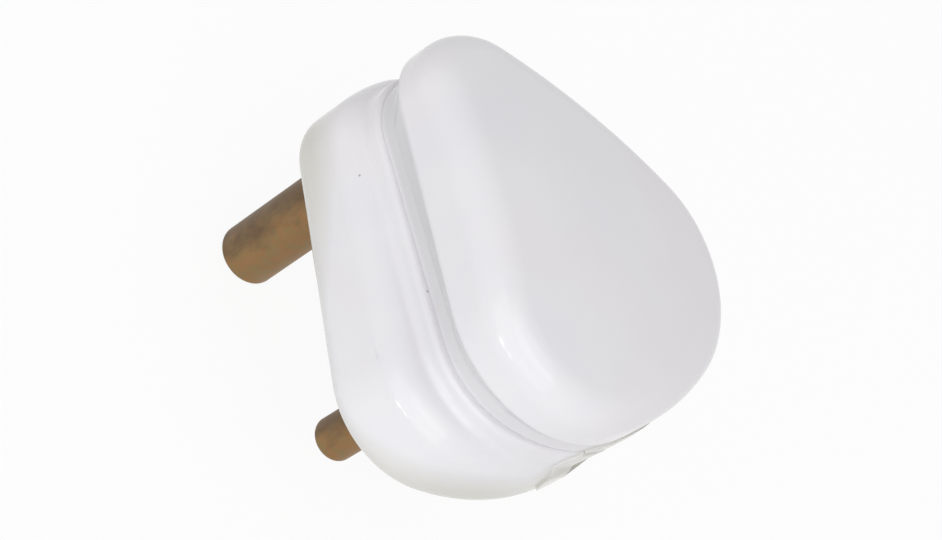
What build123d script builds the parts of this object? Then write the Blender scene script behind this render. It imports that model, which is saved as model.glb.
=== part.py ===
"""Three-pin round plug of the 5 A size, in millimetres.

The pin face lies on Z = 0, the pins point down and the back of the cover faces up.
The origin is midway between the two thinner pins, and +Y points at the earth pin.
"""
from collections import namedtuple
from math import hypot, sqrt
import os

from build123d import *

os.makedirs("parts", exist_ok=True)

# Pins, after the 5 A round-pin pattern
pin_spread = 19.05
earth_offset = 22.22
line_radius = 2.54
line_length = 14.86
earth_radius = 3.53
earth_length = 20.62
tip_rounding = 0.8
collar_step = 0.45
pin_gap = 0.1

# Heights of the base above the pin face, and its roundings
floor_top = 3.2
seat_top = 5.0
foot_rounding = 2.5
shoulder_height = 10.2
shoulder_rounding = 3.5
lip_rise = 2.1
lip_blend = 1.0
lip_rounding = 0.6
joint_height = shoulder_height + lip_rise

# Heights of the cover from the joint up, and its domed back
neck_rise = 1.7
groove_rise = 2.4
back_rise = 8.6
back_rounding = 4.0
dome_radius = 83.0
dome_y = 6.0
neck_top = joint_height + neck_rise
flange_height = neck_top + groove_rise
cover_height = flange_height + back_rise

# Walls of the two mouldings
base_wall = 2.3
lip_wall = 1.8
tongue_gap = 0.15
tongue_wall = 1.2
tongue_depth = 1.5
cover_wall = 2.6
bore_radius = 2.8
bore_length = 9.0

# Cord outlet in the wide end
cord_radius = 4.7
cord_height = 8.2
bead_radius = 7.5
bead_rise = 0.25

# Terminals: line and earth heads, their wire holes and screws
line_head_radius = 4.0
earth_head_radius = 3.9
head_flat = 3.3
wire_radius = 1.6
wire_height = 7.3
head_cover = 1.5
head_top = wire_height + wire_radius + head_cover
terminal_radius = 1.5
terminal_head_radius = 2.4
terminal_head_height = 1.5
thread_gap = 0.05
rib_width = 1.2
rib_length = 5.0
rib_top = 7.5

# Screw that holds the two mouldings together
case_y = 9.0
case_radius = 1.9
case_head_radius = 3.2
case_head_height = 2.0
case_recess_radius = 3.5
case_recess_depth = 2.4
pillar_radius = 4.2
pillar_top = 8.0
post_gap = 0.1
washer_radius = 3.0
washer_thickness = 0.5
insert_radius = 2.9
insert_gap = 0.4
insert_length = 6.5
insert_bottom = pillar_top + washer_thickness + insert_gap
case_tip_gap = 0.9
case_tip = insert_bottom + insert_length - case_tip_gap

# Cord clamp
clamp_x = 7.8
clamp_y = -7.6
clamp_boss_radius = 2.5
clamp_boss_top = 6.6
clamp_width = 5.0
clamp_thickness = 1.8
clamp_end = 2.5
clamp_arch = 1.2
clamp_arch_half = 4.6
clamp_screw_radius = 1.35
clamp_screw_depth = 5.5
clamp_head_radius = 2.2
clamp_head_height = 1.6
cradle_width = 1.6
cradle_height = 1.2

# Slots of all the screws
slot_width = 0.8
slot_depth = 0.8
head_chamfer = 0.3

# One outline is two corner circles at each end, joined by side lines and end arcs
Outline = namedtuple("Outline", "narrow_x narrow_y narrow_r narrow_end wide_x wide_y wide_r wide_end")
foot = Outline(2.4, 22.85, 6.65, 29.65, 12.1, -0.25, 11.1, -15.85)
belly = Outline(2.3, 22.75, 6.75, 29.65, 9.55, -0.8, 11.05, -15.8)
lip = Outline(0.8, 20.8, 7.1, 28.3, 5.25, -1.3, 11.9, -15.5)
neck = Outline(0.8, 20.8, 6.5, 27.8, 5.25, -1.3, 10.9, -15.5)
flange = Outline(0.35, 22.1, 7.0, 29.2, 4.2, -1.2, 13.7, -15.35)

BOTTOM = (Align.CENTER, Align.CENTER, Align.MIN)
TOP = (Align.CENTER, Align.CENTER, Align.MAX)


def end_arc(x, reach, radius):
    """Return where a corner circle meets the end arc, from the corner's own height."""
    arc = (radius**2 - x**2 - reach**2) / (2 * (radius - reach))
    grow = arc / (arc - radius)
    return x * grow, (reach - arc) + (arc - reach) * grow


def between(centre, radius, first, second):
    """Return the point of a circle that lies midway between two of its points."""
    x = first[0] + second[0] - 2 * centre[0]
    y = first[1] + second[1] - 2 * centre[1]
    return centre[0] + x * radius / hypot(x, y), centre[1] + y * radius / hypot(x, y)


def outline(shape, inset=0.0):
    """Return the face inside an outline, drawn in by the inset."""
    narrow, narrow_r = (shape.narrow_x, shape.narrow_y), shape.narrow_r - inset
    wide, wide_r = (shape.wide_x, shape.wide_y), shape.wide_r - inset
    run = (wide[0] - narrow[0], wide[1] - narrow[1])
    span = hypot(*run)
    lean = (narrow_r - wide_r) / span
    rise = sqrt(1 - lean**2)
    normal = ((run[0] * lean - run[1] * rise) / span, (run[1] * lean + run[0] * rise) / span)
    x, y = end_arc(narrow[0], shape.narrow_end - inset - narrow[1], narrow_r)
    first = (x, narrow[1] + y)
    second = (narrow[0] + narrow_r * normal[0], narrow[1] + narrow_r * normal[1])
    third = (wide[0] + wide_r * normal[0], wide[1] + wide_r * normal[1])
    x, y = end_arc(wide[0], wide[1] - shape.wide_end - inset, wide_r)
    fourth = (x, wide[1] - y)
    with BuildSketch() as drawn:
        with BuildLine():
            ThreePointArc((-first[0], first[1]), (0, shape.narrow_end - inset), first)
            ThreePointArc(first, between(narrow, narrow_r, first, second), second)
            Line(second, third)
            ThreePointArc(third, between(wide, wide_r, third, fourth), fourth)
            ThreePointArc(fourth, (0, shape.wide_end + inset), (-fourth[0], fourth[1]))
            middle = between(wide, wide_r, third, fourth)
            ThreePointArc((-fourth[0], fourth[1]), (-middle[0], middle[1]), (-third[0], third[1]))
            Line((-third[0], third[1]), (-second[0], second[1]))
            middle = between(narrow, narrow_r, first, second)
            ThreePointArc((-second[0], second[1]), (-middle[0], middle[1]), (-first[0], first[1]))
        make_face()
    return drawn.sketch


def wall_outline(height):
    """Return the outline of the base's straight wall at a height, between foot and belly."""
    share = height / shoulder_height
    return Outline(*[a + (b - a) * share for a, b in zip(foot, belly)])


def base_form(grow=0.0):
    """Return the outer form of the base, grown all round: a flared wall, a round shoulder and a lip."""
    with BuildPart() as form:
        with BuildSketch():
            add(outline(foot, -grow))
        with BuildSketch(Plane.XY.offset(shoulder_height)):
            add(outline(belly, -grow))
        loft(ruled=True)
        fillet(form.edges().group_by(Axis.Z)[-1], shoulder_rounding)
        fillet(form.edges().group_by(Axis.Z)[0], foot_rounding)
        with BuildSketch(Plane.XY.offset(shoulder_height - shoulder_rounding)):
            add(outline(lip, -grow))
        extrude(amount=shoulder_rounding + lip_rise)
        fillet(form.edges(Select.NEW), lip_blend)
        rim = form.faces().sort_by(Axis.Z)[-1]
        fillet(rim.edges(), lip_rounding)
    return form.part


def dome(depth):
    """Return a ball whose top lies below the middle of the back by the depth."""
    with BuildPart() as ball:
        with Locations((0, dome_y, cover_height - dome_radius)):
            Sphere(dome_radius - depth)
    return ball.part


def cover_form(grow=0.0):
    """Return the outer form of the cover, grown all round: a neck, a groove and a domed flange."""
    with BuildPart() as form:
        with BuildSketch(Plane.XY.offset(joint_height)):
            add(outline(neck, -grow))
        extrude(amount=neck_rise)
        with BuildSketch(Plane.XY.offset(neck_top)):
            add(outline(neck, -grow))
        with BuildSketch(Plane.XY.offset(flange_height)):
            add(outline(flange, -grow))
        loft()
        with BuildSketch(Plane.XY.offset(flange_height)):
            add(outline(flange, -grow))
        extrude(amount=back_rise)
        add(dome(0), mode=Mode.INTERSECT)
        back = form.faces().sort_by(Axis.Z)[-1]
        fillet(back.edges(), back_rounding)
    return form.part


def bead(form):
    """Return the part of a grown form that stands round the cord outlet."""
    with BuildPart() as ring:
        add(form)
        with Locations((0, foot.wide_end, cord_height)):
            Cylinder(bead_radius, 2 * base_wall, rotation=(90, 0, 0), mode=Mode.INTERSECT)
    return ring.part


tongue_inset = lip_wall + tongue_gap
line_spots = [(-pin_spread / 2, 0), (pin_spread / 2, 0)]
earth_spot = (0, earth_offset)
clamp_spots = [(-clamp_x, clamp_y), (clamp_x, clamp_y)]

# Base: a flared tray with a lip, pin seats, screw pillar and cord clamp bosses
with BuildPart() as base:
    add(base_form())
    add(bead(base_form(bead_rise)))
    for height in (floor_top, shoulder_height - shoulder_rounding):
        with BuildSketch(Plane.XY.offset(height)):
            add(outline(wall_outline(height), base_wall))
    with BuildSketch(Plane.XY.offset(shoulder_height)):
        add(outline(lip, lip_wall))
    loft(ruled=True, mode=Mode.SUBTRACT)
    with BuildSketch(Plane.XY.offset(shoulder_height)):
        add(outline(lip, lip_wall))
    extrude(amount=lip_rise, mode=Mode.SUBTRACT)
    with Locations((0, case_y, 0)):
        Cylinder(pillar_radius, pillar_top, align=BOTTOM)
    with Locations(*[(x, y, floor_top) for x, y in clamp_spots]):
        Cylinder(clamp_boss_radius, clamp_boss_top - floor_top, align=BOTTOM)
    with Locations((0, clamp_y, floor_top)):
        Box(2 * clamp_x, cradle_width, cradle_height, align=BOTTOM)
    with Locations(*[(x, y, 0) for x, y in line_spots]):
        Cylinder(line_head_radius, seat_top, align=BOTTOM)
    with Locations((0, earth_offset, 0)):
        Cylinder(earth_head_radius, seat_top, align=BOTTOM)
    for x, y in line_spots + [earth_spot]:
        for side in (-1, 1):
            with Locations((x + side * (head_flat + pin_gap + rib_width / 2), y, floor_top)):
                Box(rib_width, rib_length, rib_top - floor_top, align=BOTTOM)
    with Locations(*[(x, y, 0) for x, y in line_spots]):
        Cylinder(line_radius + collar_step + pin_gap, seat_top, align=BOTTOM, mode=Mode.SUBTRACT)
    with Locations((0, earth_offset, 0)):
        Cylinder(earth_radius + collar_step + pin_gap, seat_top, align=BOTTOM, mode=Mode.SUBTRACT)
    with Locations((0, case_y, 0)):
        Cylinder(case_radius + pin_gap, pillar_top, align=BOTTOM, mode=Mode.SUBTRACT)
        Cylinder(case_recess_radius, case_recess_depth, align=BOTTOM, mode=Mode.SUBTRACT)
    with Locations(*[(x, y, clamp_boss_top) for x, y in clamp_spots]):
        Cylinder(clamp_screw_radius + thread_gap, clamp_screw_depth, align=TOP, mode=Mode.SUBTRACT)
    with Locations((0, foot.wide_end, cord_height)):
        Cylinder(cord_radius, 4 * base_wall, rotation=(90, 0, 0), mode=Mode.SUBTRACT)
base.part.label = "base"
export_step(base.part, "parts/base.step")

# Posts inside the cover, over the pillar and the three terminal heads, as high as the middle of its wall
with BuildPart() as posts:
    with Locations((0, case_y, pillar_top + post_gap)):
        Cylinder(pillar_radius, cover_height - pillar_top - post_gap, align=BOTTOM)
    with Locations(*[(x, y, head_top + post_gap) for x, y in line_spots]):
        Cylinder(line_head_radius, cover_height - head_top - post_gap, align=BOTTOM)
    with Locations((0, earth_offset, head_top + post_gap)):
        Cylinder(earth_head_radius, cover_height - head_top - post_gap, align=BOTTOM)
    add(dome(cover_wall / 2), mode=Mode.INTERSECT)

# Hollow of the flange, with the same dome as the back
with BuildPart() as hollow:
    with BuildSketch(Plane.XY.offset(flange_height)):
        add(outline(flange, cover_wall))
    extrude(amount=back_rise)
    add(dome(cover_wall), mode=Mode.INTERSECT)

# Cover: waisted neck, flange with a domed back, and a tongue inside the base's lip
with BuildPart() as cover:
    add(cover_form())
    add(bead(cover_form(bead_rise)))
    with BuildSketch(Plane.XY.offset(joint_height - tongue_depth)):
        add(outline(lip, tongue_inset))
    extrude(amount=tongue_depth)
    with BuildSketch(Plane.XY.offset(joint_height - tongue_depth)):
        add(outline(lip, tongue_inset + tongue_wall))
    extrude(amount=flange_height - joint_height + tongue_depth, mode=Mode.SUBTRACT)
    add(hollow.part, mode=Mode.SUBTRACT)
    add(posts.part)
    with Locations(*[(x, y, head_top + post_gap) for x, y in line_spots + [earth_spot]]):
        Cylinder(bore_radius, bore_length, align=BOTTOM, mode=Mode.SUBTRACT)
    with Locations((0, case_y, pillar_top)):
        Cylinder(washer_radius + pin_gap, insert_bottom - pillar_top, align=BOTTOM, mode=Mode.SUBTRACT)
    with Locations((0, case_y, insert_bottom)):
        Cylinder(insert_radius, insert_length, align=BOTTOM, mode=Mode.SUBTRACT)
    with Locations((0, foot.wide_end, cord_height)):
        Cylinder(cord_radius, 4 * base_wall, rotation=(90, 0, 0), mode=Mode.SUBTRACT)
cover.part.label = "cover"
export_step(cover.part, "parts/cover.step")


def pin(spot, radius, length, head_radius):
    """Return a turned pin with a collar, a flatted terminal head, a wire hole and a tapped hole."""
    with BuildPart() as turned:
        with Locations((0, 0, -length)):
            Cylinder(radius, length, align=BOTTOM)
        fillet(turned.edges().sort_by(Axis.Z)[0], tip_rounding)
        Cylinder(radius + collar_step, seat_top, align=BOTTOM)
        with BuildSketch(Plane.XY.offset(seat_top)):
            Circle(head_radius)
            Rectangle(2 * head_flat, 2 * head_radius, mode=Mode.INTERSECT)
        extrude(amount=head_top - seat_top)
        chamfer(turned.edges().group_by(Axis.Z)[-1], head_chamfer)
        with Locations((0, 0, wire_height)):
            Cylinder(wire_radius, 3 * head_radius, rotation=(90, 0, 0), mode=Mode.SUBTRACT)
        with Locations((0, 0, wire_height)):
            Cylinder(terminal_radius + thread_gap, head_top, align=BOTTOM, mode=Mode.SUBTRACT)
    return turned.part.moved(Location((*spot, 0)))


def screw(spot, radius, shank, head_radius, head_height):
    """Return a slotted screw whose head stands on the given spot, its shank pointing down."""
    with BuildPart() as turned:
        Cylinder(head_radius, head_height, align=BOTTOM)
        chamfer(turned.edges().group_by(Axis.Z)[-1], head_chamfer)
        Cylinder(radius, shank, align=TOP)
        chamfer(turned.edges().group_by(Axis.Z)[0], head_chamfer)
        with Locations((0, 0, head_height)):
            Box(2 * head_radius, slot_width, slot_depth, align=TOP, mode=Mode.SUBTRACT)
    return turned.part.moved(Location(spot))


# Pins: the thicker earth pin and the two line pins
with BuildPart() as earth_pin:
    add(pin(earth_spot, earth_radius, earth_length, earth_head_radius))
earth_pin.part.label = "earth_pin"
export_step(earth_pin.part, "parts/earth_pin.step")

with BuildPart() as live_pin:
    add(pin(line_spots[0], line_radius, line_length, line_head_radius))
live_pin.part.label = "live_pin"
export_step(live_pin.part, "parts/live_pin.step")

with BuildPart() as neutral_pin:
    add(pin(line_spots[1], line_radius, line_length, line_head_radius))
neutral_pin.part.label = "neutral_pin"
export_step(neutral_pin.part, "parts/neutral_pin.step")

# Terminal screws, each closing on its wire hole
terminal_shank = wire_radius + head_cover
terminal = (terminal_radius, terminal_shank, terminal_head_radius, terminal_head_height)
with BuildPart() as earth_terminal_screw:
    add(screw((*earth_spot, head_top), *terminal))
earth_terminal_screw.part.label = "earth_terminal_screw"
export_step(earth_terminal_screw.part, "parts/earth_terminal_screw.step")

with BuildPart() as live_terminal_screw:
    add(screw((*line_spots[0], head_top), *terminal))
live_terminal_screw.part.label = "live_terminal_screw"
export_step(live_terminal_screw.part, "parts/live_terminal_screw.step")

with BuildPart() as neutral_terminal_screw:
    add(screw((*line_spots[1], head_top), *terminal))
neutral_terminal_screw.part.label = "neutral_terminal_screw"
export_step(neutral_terminal_screw.part, "parts/neutral_terminal_screw.step")

# Case screw, put in from the pin face, with its washer and the threaded insert in the cover
with BuildPart() as case_screw:
    with Locations((0, case_y, case_recess_depth)):
        Cylinder(case_head_radius, case_head_height, align=TOP)
    chamfer(case_screw.edges().group_by(Axis.Z)[0], head_chamfer)
    with Locations((0, case_y, case_recess_depth)):
        Cylinder(case_radius, case_tip - case_recess_depth, align=BOTTOM)
    chamfer(case_screw.edges().group_by(Axis.Z)[-1], head_chamfer)
    with Locations((0, case_y, case_recess_depth - case_head_height)):
        Box(2 * case_head_radius, slot_width, slot_depth, align=BOTTOM, mode=Mode.SUBTRACT)
case_screw.part.label = "case_screw"
export_step(case_screw.part, "parts/case_screw.step")

with BuildPart() as screw_washer:
    with Locations((0, case_y, pillar_top)):
        Cylinder(washer_radius, washer_thickness, align=BOTTOM)
        Cylinder(case_radius + thread_gap, washer_thickness, align=BOTTOM, mode=Mode.SUBTRACT)
screw_washer.part.label = "screw_washer"
export_step(screw_washer.part, "parts/screw_washer.step")

with BuildPart() as cover_insert:
    with Locations((0, case_y, insert_bottom)):
        Cylinder(insert_radius, insert_length, align=BOTTOM)
        Cylinder(case_radius + thread_gap, insert_length, align=BOTTOM, mode=Mode.SUBTRACT)
cover_insert.part.label = "cover_insert"
export_step(cover_insert.part, "parts/cover_insert.step")

# Cord clamp: an arched bar held down on its bosses by two screws
with BuildPart() as cord_clamp_bar:
    with BuildSketch(Plane.XZ.offset(-clamp_y - clamp_width / 2)):
        with BuildLine():
            Line((-clamp_x, 0), (-clamp_arch_half, 0))
            ThreePointArc((-clamp_arch_half, 0), (0, clamp_arch), (clamp_arch_half, 0))
            Line((clamp_arch_half, 0), (clamp_x, 0))
            Line((clamp_x, 0), (clamp_x, clamp_thickness))
            Line((clamp_x, clamp_thickness), (clamp_arch_half, clamp_thickness))
            peak = (0, clamp_arch + clamp_thickness)
            ThreePointArc((clamp_arch_half, clamp_thickness), peak, (-clamp_arch_half, clamp_thickness))
            Line((-clamp_arch_half, clamp_thickness), (-clamp_x, clamp_thickness))
            Line((-clamp_x, clamp_thickness), (-clamp_x, 0))
        make_face()
    extrude(amount=clamp_width)
    for x in (-clamp_x, clamp_x):
        with Locations((x, clamp_y, 0)):
            Cylinder(clamp_end, clamp_thickness, align=BOTTOM)
            Cylinder(clamp_screw_radius + pin_gap, clamp_thickness, align=BOTTOM, mode=Mode.SUBTRACT)
cord_clamp_bar.part = cord_clamp_bar.part.moved(Location((0, 0, clamp_boss_top)))
cord_clamp_bar.part.label = "cord_clamp_bar"
export_step(cord_clamp_bar.part, "parts/cord_clamp_bar.step")

clamp_seat = clamp_boss_top + clamp_thickness
clamp_shank = clamp_thickness + clamp_screw_depth - 2 * pin_gap
clamp_screw = (clamp_screw_radius, clamp_shank, clamp_head_radius, clamp_head_height)
with BuildPart() as left_clamp_screw:
    add(screw((*clamp_spots[0], clamp_seat), *clamp_screw))
left_clamp_screw.part.label = "left_clamp_screw"
export_step(left_clamp_screw.part, "parts/left_clamp_screw.step")

with BuildPart() as right_clamp_screw:
    add(screw((*clamp_spots[1], clamp_seat), *clamp_screw))
right_clamp_screw.part.label = "right_clamp_screw"
export_step(right_clamp_screw.part, "parts/right_clamp_screw.step")
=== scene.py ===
"""Looks of the round pin plug: materials, floor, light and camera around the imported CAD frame. Metres."""

from math import radians

import bpy
from mathutils import Matrix, Vector


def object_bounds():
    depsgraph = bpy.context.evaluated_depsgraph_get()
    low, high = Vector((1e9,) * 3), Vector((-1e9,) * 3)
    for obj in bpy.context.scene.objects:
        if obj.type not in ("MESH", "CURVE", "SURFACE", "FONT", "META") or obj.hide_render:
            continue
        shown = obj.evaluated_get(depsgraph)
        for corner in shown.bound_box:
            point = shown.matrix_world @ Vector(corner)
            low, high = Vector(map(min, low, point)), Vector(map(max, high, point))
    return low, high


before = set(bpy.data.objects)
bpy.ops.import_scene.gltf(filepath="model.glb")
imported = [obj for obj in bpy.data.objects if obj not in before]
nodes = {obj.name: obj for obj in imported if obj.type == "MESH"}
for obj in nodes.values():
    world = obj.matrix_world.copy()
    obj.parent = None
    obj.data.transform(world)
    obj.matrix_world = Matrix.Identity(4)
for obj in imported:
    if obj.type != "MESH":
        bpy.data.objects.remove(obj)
first_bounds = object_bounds()
scene = bpy.context.scene
scene.view_settings.view_transform = "Standard"


def srgb(*values):
    """Linear colour with alpha from 8-bit screen values."""
    linear = [(v / 255 / 12.92) if v / 255 <= 0.04045 else ((v / 255 + 0.055) / 1.055) ** 2.4 for v in values]
    return (*linear, 1.0)


# Places on the plug: y runs from the cord end to the narrow end, z from the pin face to the back
PIN_TIP = first_bounds[0][2]
CORD_END = -0.015
MIDDLE = 0.007
HEART = (0, MIDDLE, 0.01)
OUTLET_AXIS = (0.0, 0.0, 0.0082)
GROOVE_FOOT = 0.0123
GROOVE_TOP = 0.0168
SPECKS = (
    (-0.00945, 0.02162, 0.00921),
    (-0.01341, 0.00791, 0.0123),
    (0.0121, 0.0093, 0.0239),
    (0.0178, -0.0086, 0.0062),
)

# Colours of the white moulding, of what clings to it, and of the shade painted on it
COOL_WHITE = srgb(229, 228, 232)
PALE_WHITE = srgb(232, 231, 234)
PINK_WHITE = srgb(231, 226, 228)
# Painted shade with a warm tint of grime, low round the foot
FOOT_SHADE_AND_GRIME = srgb(211, 210, 203)
# Painted shade with a warm tint of grime, round the cord outlet
OUTLET_SHADE_AND_GRIME = srgb(205, 203, 194)
# Painted shade in the finger groove
GROOVE_SHADE = srgb(211, 210, 212)
SPECK_BROWN = srgb(96, 84, 80)

# Colours of the pins
YELLOW_BRASS = srgb(151, 117, 80)
GREEN_BRASS = srgb(143, 120, 84)
BROWN_BRASS = srgb(113, 94, 74)

# Colours of the other pieces and of the floor
CLAMP_WHITE = srgb(215, 214, 210)
SCREW_BRASS = srgb(205, 170, 100)
SCREW_STEEL = srgb(190, 190, 192)
DARK_FIBRE = srgb(140, 52, 40)
LIGHT_FIBRE = srgb(162, 70, 54)
PAPER_WHITE = (0.9, 0.9, 0.9, 1)
FULL_WHITE = (1, 1, 1, 1)

# Levels of the floor's glow where it is seen, and of the world's light on the plug
GLOW_SHARE = 0.91
WORLD_LIGHT = 0.6

# Sockets of the Mix node when it mixes colours
FIRST_COLOUR = 6
SECOND_COLOUR = 7
MIXED_COLOUR = 2


class Material:
    """A node material: its shader, and short ways to add and link nodes."""

    def __init__(self, name, **inputs):
        self.data = bpy.data.materials.new(name)
        self.data.use_nodes = True
        self.tree = self.data.node_tree
        self.shader = self.tree.nodes["Principled BSDF"]
        self.place = self.add("ShaderNodeTexCoord").outputs["Object"]
        for key, value in inputs.items():
            self.set(key.replace("_", " "), value)

    def add(self, kind, **settings):
        """Adds a node; a setting is a property of the node, or else an input: a number, colour or socket."""
        node = self.tree.nodes.new(kind)
        inputs = {}
        for key, value in settings.items():
            if hasattr(node, key):
                setattr(node, key, value)
            else:
                inputs[key.replace("_", " ")] = value
        for key, value in inputs.items():
            self.put(node.inputs[key], value)
        return node

    def put(self, socket, value):
        """Links a socket to an output, or sets its value."""
        if isinstance(value, bpy.types.NodeSocket):
            self.tree.links.new(value, socket)
        else:
            socket.default_value = value

    def set(self, name, value):
        """Links or sets one input of the shader."""
        self.put(self.shader.inputs[name], value)

    def parts(self, vector):
        """The x, y and z of a vector."""
        return self.add("ShaderNodeSeparateXYZ", Vector=vector).outputs

    def stretch(self, *scale, turn=(0, 0, 0)):
        """Object coordinates, turned and then scaled by axis."""
        mapped = self.add("ShaderNodeMapping", Vector=self.place, Rotation=turn, Scale=scale)
        return mapped.outputs["Vector"]

    def noise(self, where, scale, detail=2.0, rough=0.5):
        """Plain noise between 0 and 1."""
        texture = self.add("ShaderNodeTexNoise", Vector=where, Scale=scale, Detail=detail, Roughness=rough)
        return texture.outputs["Fac"]

    def ramp(self, value, low, high, at_low=0.0, at_high=1.0):
        """A value's range drawn out to another, held at both ends."""
        node = self.add("ShaderNodeMapRange", Value=value)
        self.put(node.inputs["From Min"], low)
        self.put(node.inputs["From Max"], high)
        self.put(node.inputs["To Min"], at_low)
        self.put(node.inputs["To Max"], at_high)
        return node.outputs["Result"]

    def fade(self, value, low, high, share=1.0):
        """A share that is held up to the low value and gone from the high one."""
        return self.ramp(value, low, high, share, 0.0)

    def math(self, operation, first, second=0.0):
        """What an operation makes of one or two numbers."""
        node = self.add("ShaderNodeMath", operation=operation)
        self.put(node.inputs[0], first)
        self.put(node.inputs[1], second)
        return node.outputs["Value"]

    def distance(self, first, second):
        """How far two points lie apart."""
        node = self.add("ShaderNodeVectorMath", operation="DISTANCE")
        self.put(node.inputs[0], first)
        self.put(node.inputs[1], second)
        return node.outputs["Value"]

    def blend(self, share, first, second):
        """A mix of two colours, with a share of the second."""
        node = self.add("ShaderNodeMix", data_type="RGBA")
        self.put(node.inputs["Factor"], share)
        self.put(node.inputs[FIRST_COLOUR], first)
        self.put(node.inputs[SECOND_COLOUR], second)
        return node.outputs[MIXED_COLOUR]

    def bump(self, height, strength, distance, edge=0.0):
        """Small relief on the shader's normal, and a soft edge where two faces meet."""
        node = self.add("ShaderNodeBump", Height=height, Strength=strength, Distance=distance)
        if edge:
            bevel = self.add("ShaderNodeBevel", samples=6, Radius=edge)
            self.put(node.inputs["Normal"], bevel.outputs["Normal"])
        self.set("Normal", node.outputs["Normal"])

    def dress(self, *names):
        """Gives CAD nodes this material."""
        for name in names:
            mesh = nodes[name].data
            mesh.materials.clear()
            mesh.materials.append(self.data)


def tinted(white, clouds):
    """Clean white in faint clouds, a few of them pinkish."""
    tints = white.noise(white.stretch(1.0, 1.0, 1.0, turn=(0.4, 0.9, 0.2)), scale=55.0)
    colour = white.blend(white.ramp(clouds, 0.35, 0.65), COOL_WHITE, PALE_WHITE)
    return white.blend(white.ramp(tints, 0.45, 0.7, at_high=0.5), colour, PINK_WHITE)


def foot_shade_and_grime(white, at, colour):
    """Painted shade round the foot, with a warm tint of grime: it reaches higher and is darker at both ends
    of the plug.
    """
    from_middle = white.math("ABSOLUTE", white.math("SUBTRACT", at["Y"], MIDDLE))
    near = 0.004
    far = 0.019
    height = white.ramp(from_middle, near, far, at_low=0.0022, at_high=0.0075)
    strength = white.ramp(from_middle, near, far, at_low=0.4)
    # Painted shade: darker low on the wall, higher and stronger towards both ends
    low_down = white.fade(white.math("DIVIDE", at["Z"], height), 0.5, 1.1)
    return white.blend(white.math("MULTIPLY", low_down, strength), colour, FOOT_SHADE_AND_GRIME)


def outlet_shade_and_grime(white, at, colour):
    """Painted shade with a warm tint of grime, in a soft ring round the cord outlet, on the cord end alone.
    """
    from_axis = white.distance(white.stretch(1.0, 0.0, 1.0), OUTLET_AXIS)
    ring = white.fade(from_axis, 0.007, 0.013)
    cord_end = white.fade(at["Y"], CORD_END, CORD_END + 0.0015)
    # Painted shade with some grime: darker in a ring on the cord end
    return white.blend(white.math("MULTIPLY", ring, cord_end), colour, OUTLET_SHADE_AND_GRIME)


def groove_shade(white, at, colour):
    """Painted shade in the finger groove, most of it towards the narrow end."""
    above_foot = white.ramp(at["Z"], GROOVE_FOOT, GROOVE_FOOT + 0.0007)
    below_top = white.fade(at["Z"], GROOVE_TOP - 0.0008, GROOVE_TOP)
    strength = white.ramp(at["Y"], -0.012, 0.018, at_low=0.35)
    in_groove = white.math("MULTIPLY", above_foot, below_top)
    # Painted shade: the groove darker, most towards the narrow end
    return white.blend(white.math("MULTIPLY", in_groove, strength), colour, GROOVE_SHADE)


def specks(white, colour):
    """A few small brown specks."""
    for spot in SPECKS:
        near = white.fade(white.distance(white.place, spot), 0.00007, 0.00016, share=0.6)
        colour = white.blend(near, colour, SPECK_BROWN)
    return colour


def white_moulding():
    """Glossy, slightly wavy white moulding with faint clouds of tint, painted shade with some grime at the
    foot and the cord end, painted shade in the groove, and a few specks.
    """
    white = Material("white_moulding", IOR=1.5)
    at = white.parts(white.place)
    clouds = white.noise(white.place, scale=90.0, detail=3.0)
    colour = tinted(white, clouds)
    # Painted shade, with a warm tint of grime, round the foot
    colour = foot_shade_and_grime(white, at, colour)
    # Painted shade, with a warm tint of grime, round the cord outlet
    colour = outlet_shade_and_grime(white, at, colour)
    # Painted shade in the finger groove
    colour = groove_shade(white, at, colour)
    colour = specks(white, colour)
    white.set("Base Color", colour)
    white.set("Roughness", white.ramp(clouds, 0.3, 0.7, at_low=0.1, at_high=0.16))
    waves = white.noise(white.place, scale=160.0, detail=1.0)
    white.bump(waves, strength=0.12, distance=0.0006, edge=0.00015)
    white.dress("base", "cover")


def pin_brass():
    """Dull turned brass: mottled tarnish, painted shade that makes the side away from the cord browner, and
    fine rings.
    """
    brass = Material("pin_brass", Metallic=1.0)
    tarnish = brass.noise(brass.stretch(1.0, 1.0, 0.55), scale=420.0, detail=5.0, rough=0.62)
    askew = brass.stretch(1.0, 1.0, 1.0, turn=(0.8, 0.3, 0.5))
    patches = brass.noise(askew, scale=650.0, detail=3.0, rough=0.55)
    facing = brass.parts(brass.add("ShaderNodeNewGeometry").outputs["Normal"])
    metal = brass.blend(brass.ramp(patches, 0.42, 0.58), YELLOW_BRASS, GREEN_BRASS)
    # Painted shade: the side that faces away from the cord is browner, mixed with the mottled tarnish
    tarnish_and_side_shade = brass.math("ADD", facing["Y"], brass.ramp(tarnish, 0.3, 0.7, at_low=-0.45, at_high=0.45))
    metal = brass.blend(brass.ramp(tarnish_and_side_shade, -0.15, 0.75, at_high=0.9), metal, BROWN_BRASS)
    brass.set("Base Color", metal)
    brass.set("Roughness", brass.ramp(tarnish, 0.3, 0.7, at_low=0.45, at_high=0.6))
    rings = brass.noise(brass.stretch(0.05, 0.05, 1.0), scale=9000.0)
    brass.bump(rings, strength=0.25, distance=0.00003)
    brass.dress("earth_pin", "live_pin", "neutral_pin")


def washer_fibre():
    """Matt red-brown fibre with fine flecks."""
    fibre = Material("washer_fibre", Roughness=0.7)
    flecks = fibre.noise(fibre.place, scale=1500.0, detail=4.0)
    fibre.set("Base Color", fibre.blend(fibre.ramp(flecks, 0.3, 0.7), DARK_FIBRE, LIGHT_FIBRE))
    fibre.dress("screw_washer")


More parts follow.
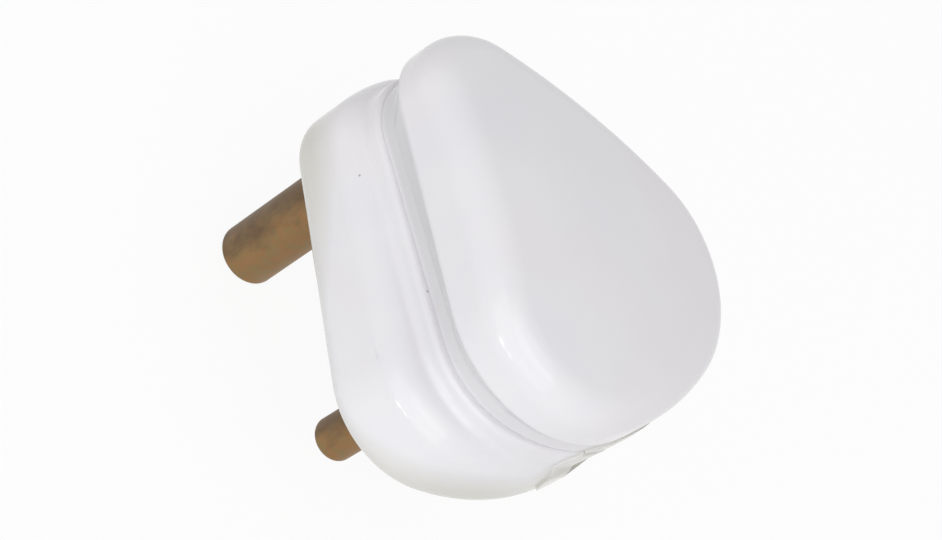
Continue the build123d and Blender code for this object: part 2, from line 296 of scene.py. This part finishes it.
def plain(name, colour, pieces, grain, smooth, rough, **inputs):
    """One colour, with a roughness that varies by a fine grain."""
    material = Material(name, Base_Color=colour, **inputs)
    grains = material.noise(material.place, scale=grain)
    material.set("Roughness", material.ramp(grains, 0.3, 0.7, at_low=smooth, at_high=rough))
    material.dress(*pieces)


def seen(tree):
    """One for rays from the camera, and for those that a mirror or glass sends on."""
    path = tree.nodes.new("ShaderNodeLightPath")
    total = path.outputs["Is Camera Ray"]
    for name in ("Is Glossy Ray", "Is Transmission Ray"):
        either = tree.nodes.new("ShaderNodeMath")
        either.operation = "MAXIMUM"
        tree.links.new(total, either.inputs[0])
        tree.links.new(path.outputs[name], either.inputs[1])
        total = either.outputs["Value"]
    return total


def floor_paper():
    """White paper that glows where it is seen, so that only a faint shadow is left on it."""
    paper = Material("floor_paper", Base_Color=PAPER_WHITE, Roughness=0.9, Specular_IOR_Level=0.1)
    glow = paper.add("ShaderNodeEmission", Color=FULL_WHITE, Strength=1.0)
    whiten = paper.add("ShaderNodeMixShader")
    paper.put(whiten.inputs[0], paper.math("MULTIPLY", seen(paper.tree), GLOW_SHARE))
    paper.put(whiten.inputs[1], paper.shader.outputs["BSDF"])
    paper.put(whiten.inputs[2], glow.outputs["Emission"])
    paper.put(paper.tree.nodes["Material Output"].inputs["Surface"], whiten.outputs["Shader"])
    return paper.data


def lamp(name, direction, distance, width, height, power):
    """A lamp with a soft face that looks at the plug from a direction."""
    light = bpy.data.lights.new(name, "AREA")
    light.shape = "RECTANGLE"
    light.size = width
    light.size_y = height
    light.energy = power
    lamp_object = bpy.data.objects.new(name, light)
    scene.collection.objects.link(lamp_object)
    direction = Vector(direction).normalized()
    lamp_object.location = Vector(HEART) + direction * distance
    lamp_object.rotation_mode = "QUATERNION"
    lamp_object.rotation_quaternion = (-direction).to_track_quat("-Z", "Y")


def studio_world():
    """A world that is white where it is seen and soft grey where it lights."""
    world = bpy.data.worlds.new("studio")
    scene.world = world
    world.use_nodes = True
    tree = world.node_tree
    level = tree.nodes.new("ShaderNodeMapRange")
    level.inputs["To Min"].default_value = WORLD_LIGHT
    level.inputs["To Max"].default_value = 1.0
    tree.links.new(seen(tree), level.inputs["Value"])
    background = tree.nodes["Background"]
    background.inputs["Color"].default_value = FULL_WHITE
    tree.links.new(level.outputs["Result"], background.inputs["Strength"])


# Materials of the pieces
white_moulding()
pin_brass()
washer_fibre()
plain("clamp_moulding", CLAMP_WHITE, ["cord_clamp_bar"], grain=400.0, smooth=0.4, rough=0.5, IOR=1.5)
brass_fittings = ["earth_terminal_screw", "live_terminal_screw", "neutral_terminal_screw", "cover_insert"]
plain("screw_brass", SCREW_BRASS, brass_fittings, grain=700.0, smooth=0.25, rough=0.38, Metallic=1.0)
steel_screws = ["case_screw", "left_clamp_screw", "right_clamp_screw"]
plain("screw_steel", SCREW_STEEL, steel_screws, grain=700.0, smooth=0.25, rough=0.4, Metallic=1.0)

# Floor just under the earth pin's tip
FLOOR_WIDTH = 6
TIP_GAP = 0.00002
bpy.ops.mesh.primitive_plane_add(size=FLOOR_WIDTH, location=(0, 0, PIN_TIP - TIP_GAP))
floor = bpy.context.object
floor.name = "floor"
floor.data.materials.append(floor_paper())

# Light: a large soft lamp from the left, a smaller one from above, and two small ones for the highlights
lamp("softbox", (-0.84, -0.14, 0.53), distance=0.65, width=0.95, height=0.7, power=1.75)
lamp("top", (-0.43, -0.25, 0.87), distance=0.7, width=0.5, height=0.5, power=0.65)
lamp("spot_left", (-0.99, 0.04, 0.01), distance=0.27, width=0.03, height=0.03, power=0.02)
lamp("spot_right", (-0.98, -0.13, 0.03), distance=0.27, width=0.02, height=0.02, power=0.009)
studio_world()

# Camera at the photograph's angle: it looks at a point inside the plug, and angles are in degrees
LOOKS_AT = Vector((-0.001592, 0.0075, 0.008218))
AWAY = 0.291125
AZIMUTH = -179.4629
ELEVATION = 41.6908
ROLL = 57.5355
IMAGE_WIDTH = 942
FOCAL_LENGTH_IN_PIXELS = 2800
SENSOR_WIDTH = 36
camera_data = bpy.data.cameras.new("camera")
camera = bpy.data.objects.new("camera", camera_data)
scene.collection.objects.link(camera)
level_turn = Matrix.Rotation(radians(AZIMUTH + 90), 4, "Z")
tilt = Matrix.Rotation(radians(90 - ELEVATION), 4, "X")
roll = Matrix.Rotation(radians(ROLL), 4, "Z")
back_off = Matrix.Translation((0, 0, AWAY))
camera.matrix_world = Matrix.Translation(LOOKS_AT) @ level_turn @ tilt @ roll @ back_off
camera_data.sensor_width = SENSOR_WIDTH
camera_data.lens = FOCAL_LENGTH_IN_PIXELS / IMAGE_WIDTH * SENSOR_WIDTH
camera_data.clip_start = 0.01
camera_data.clip_end = 20
scene.camera = camera
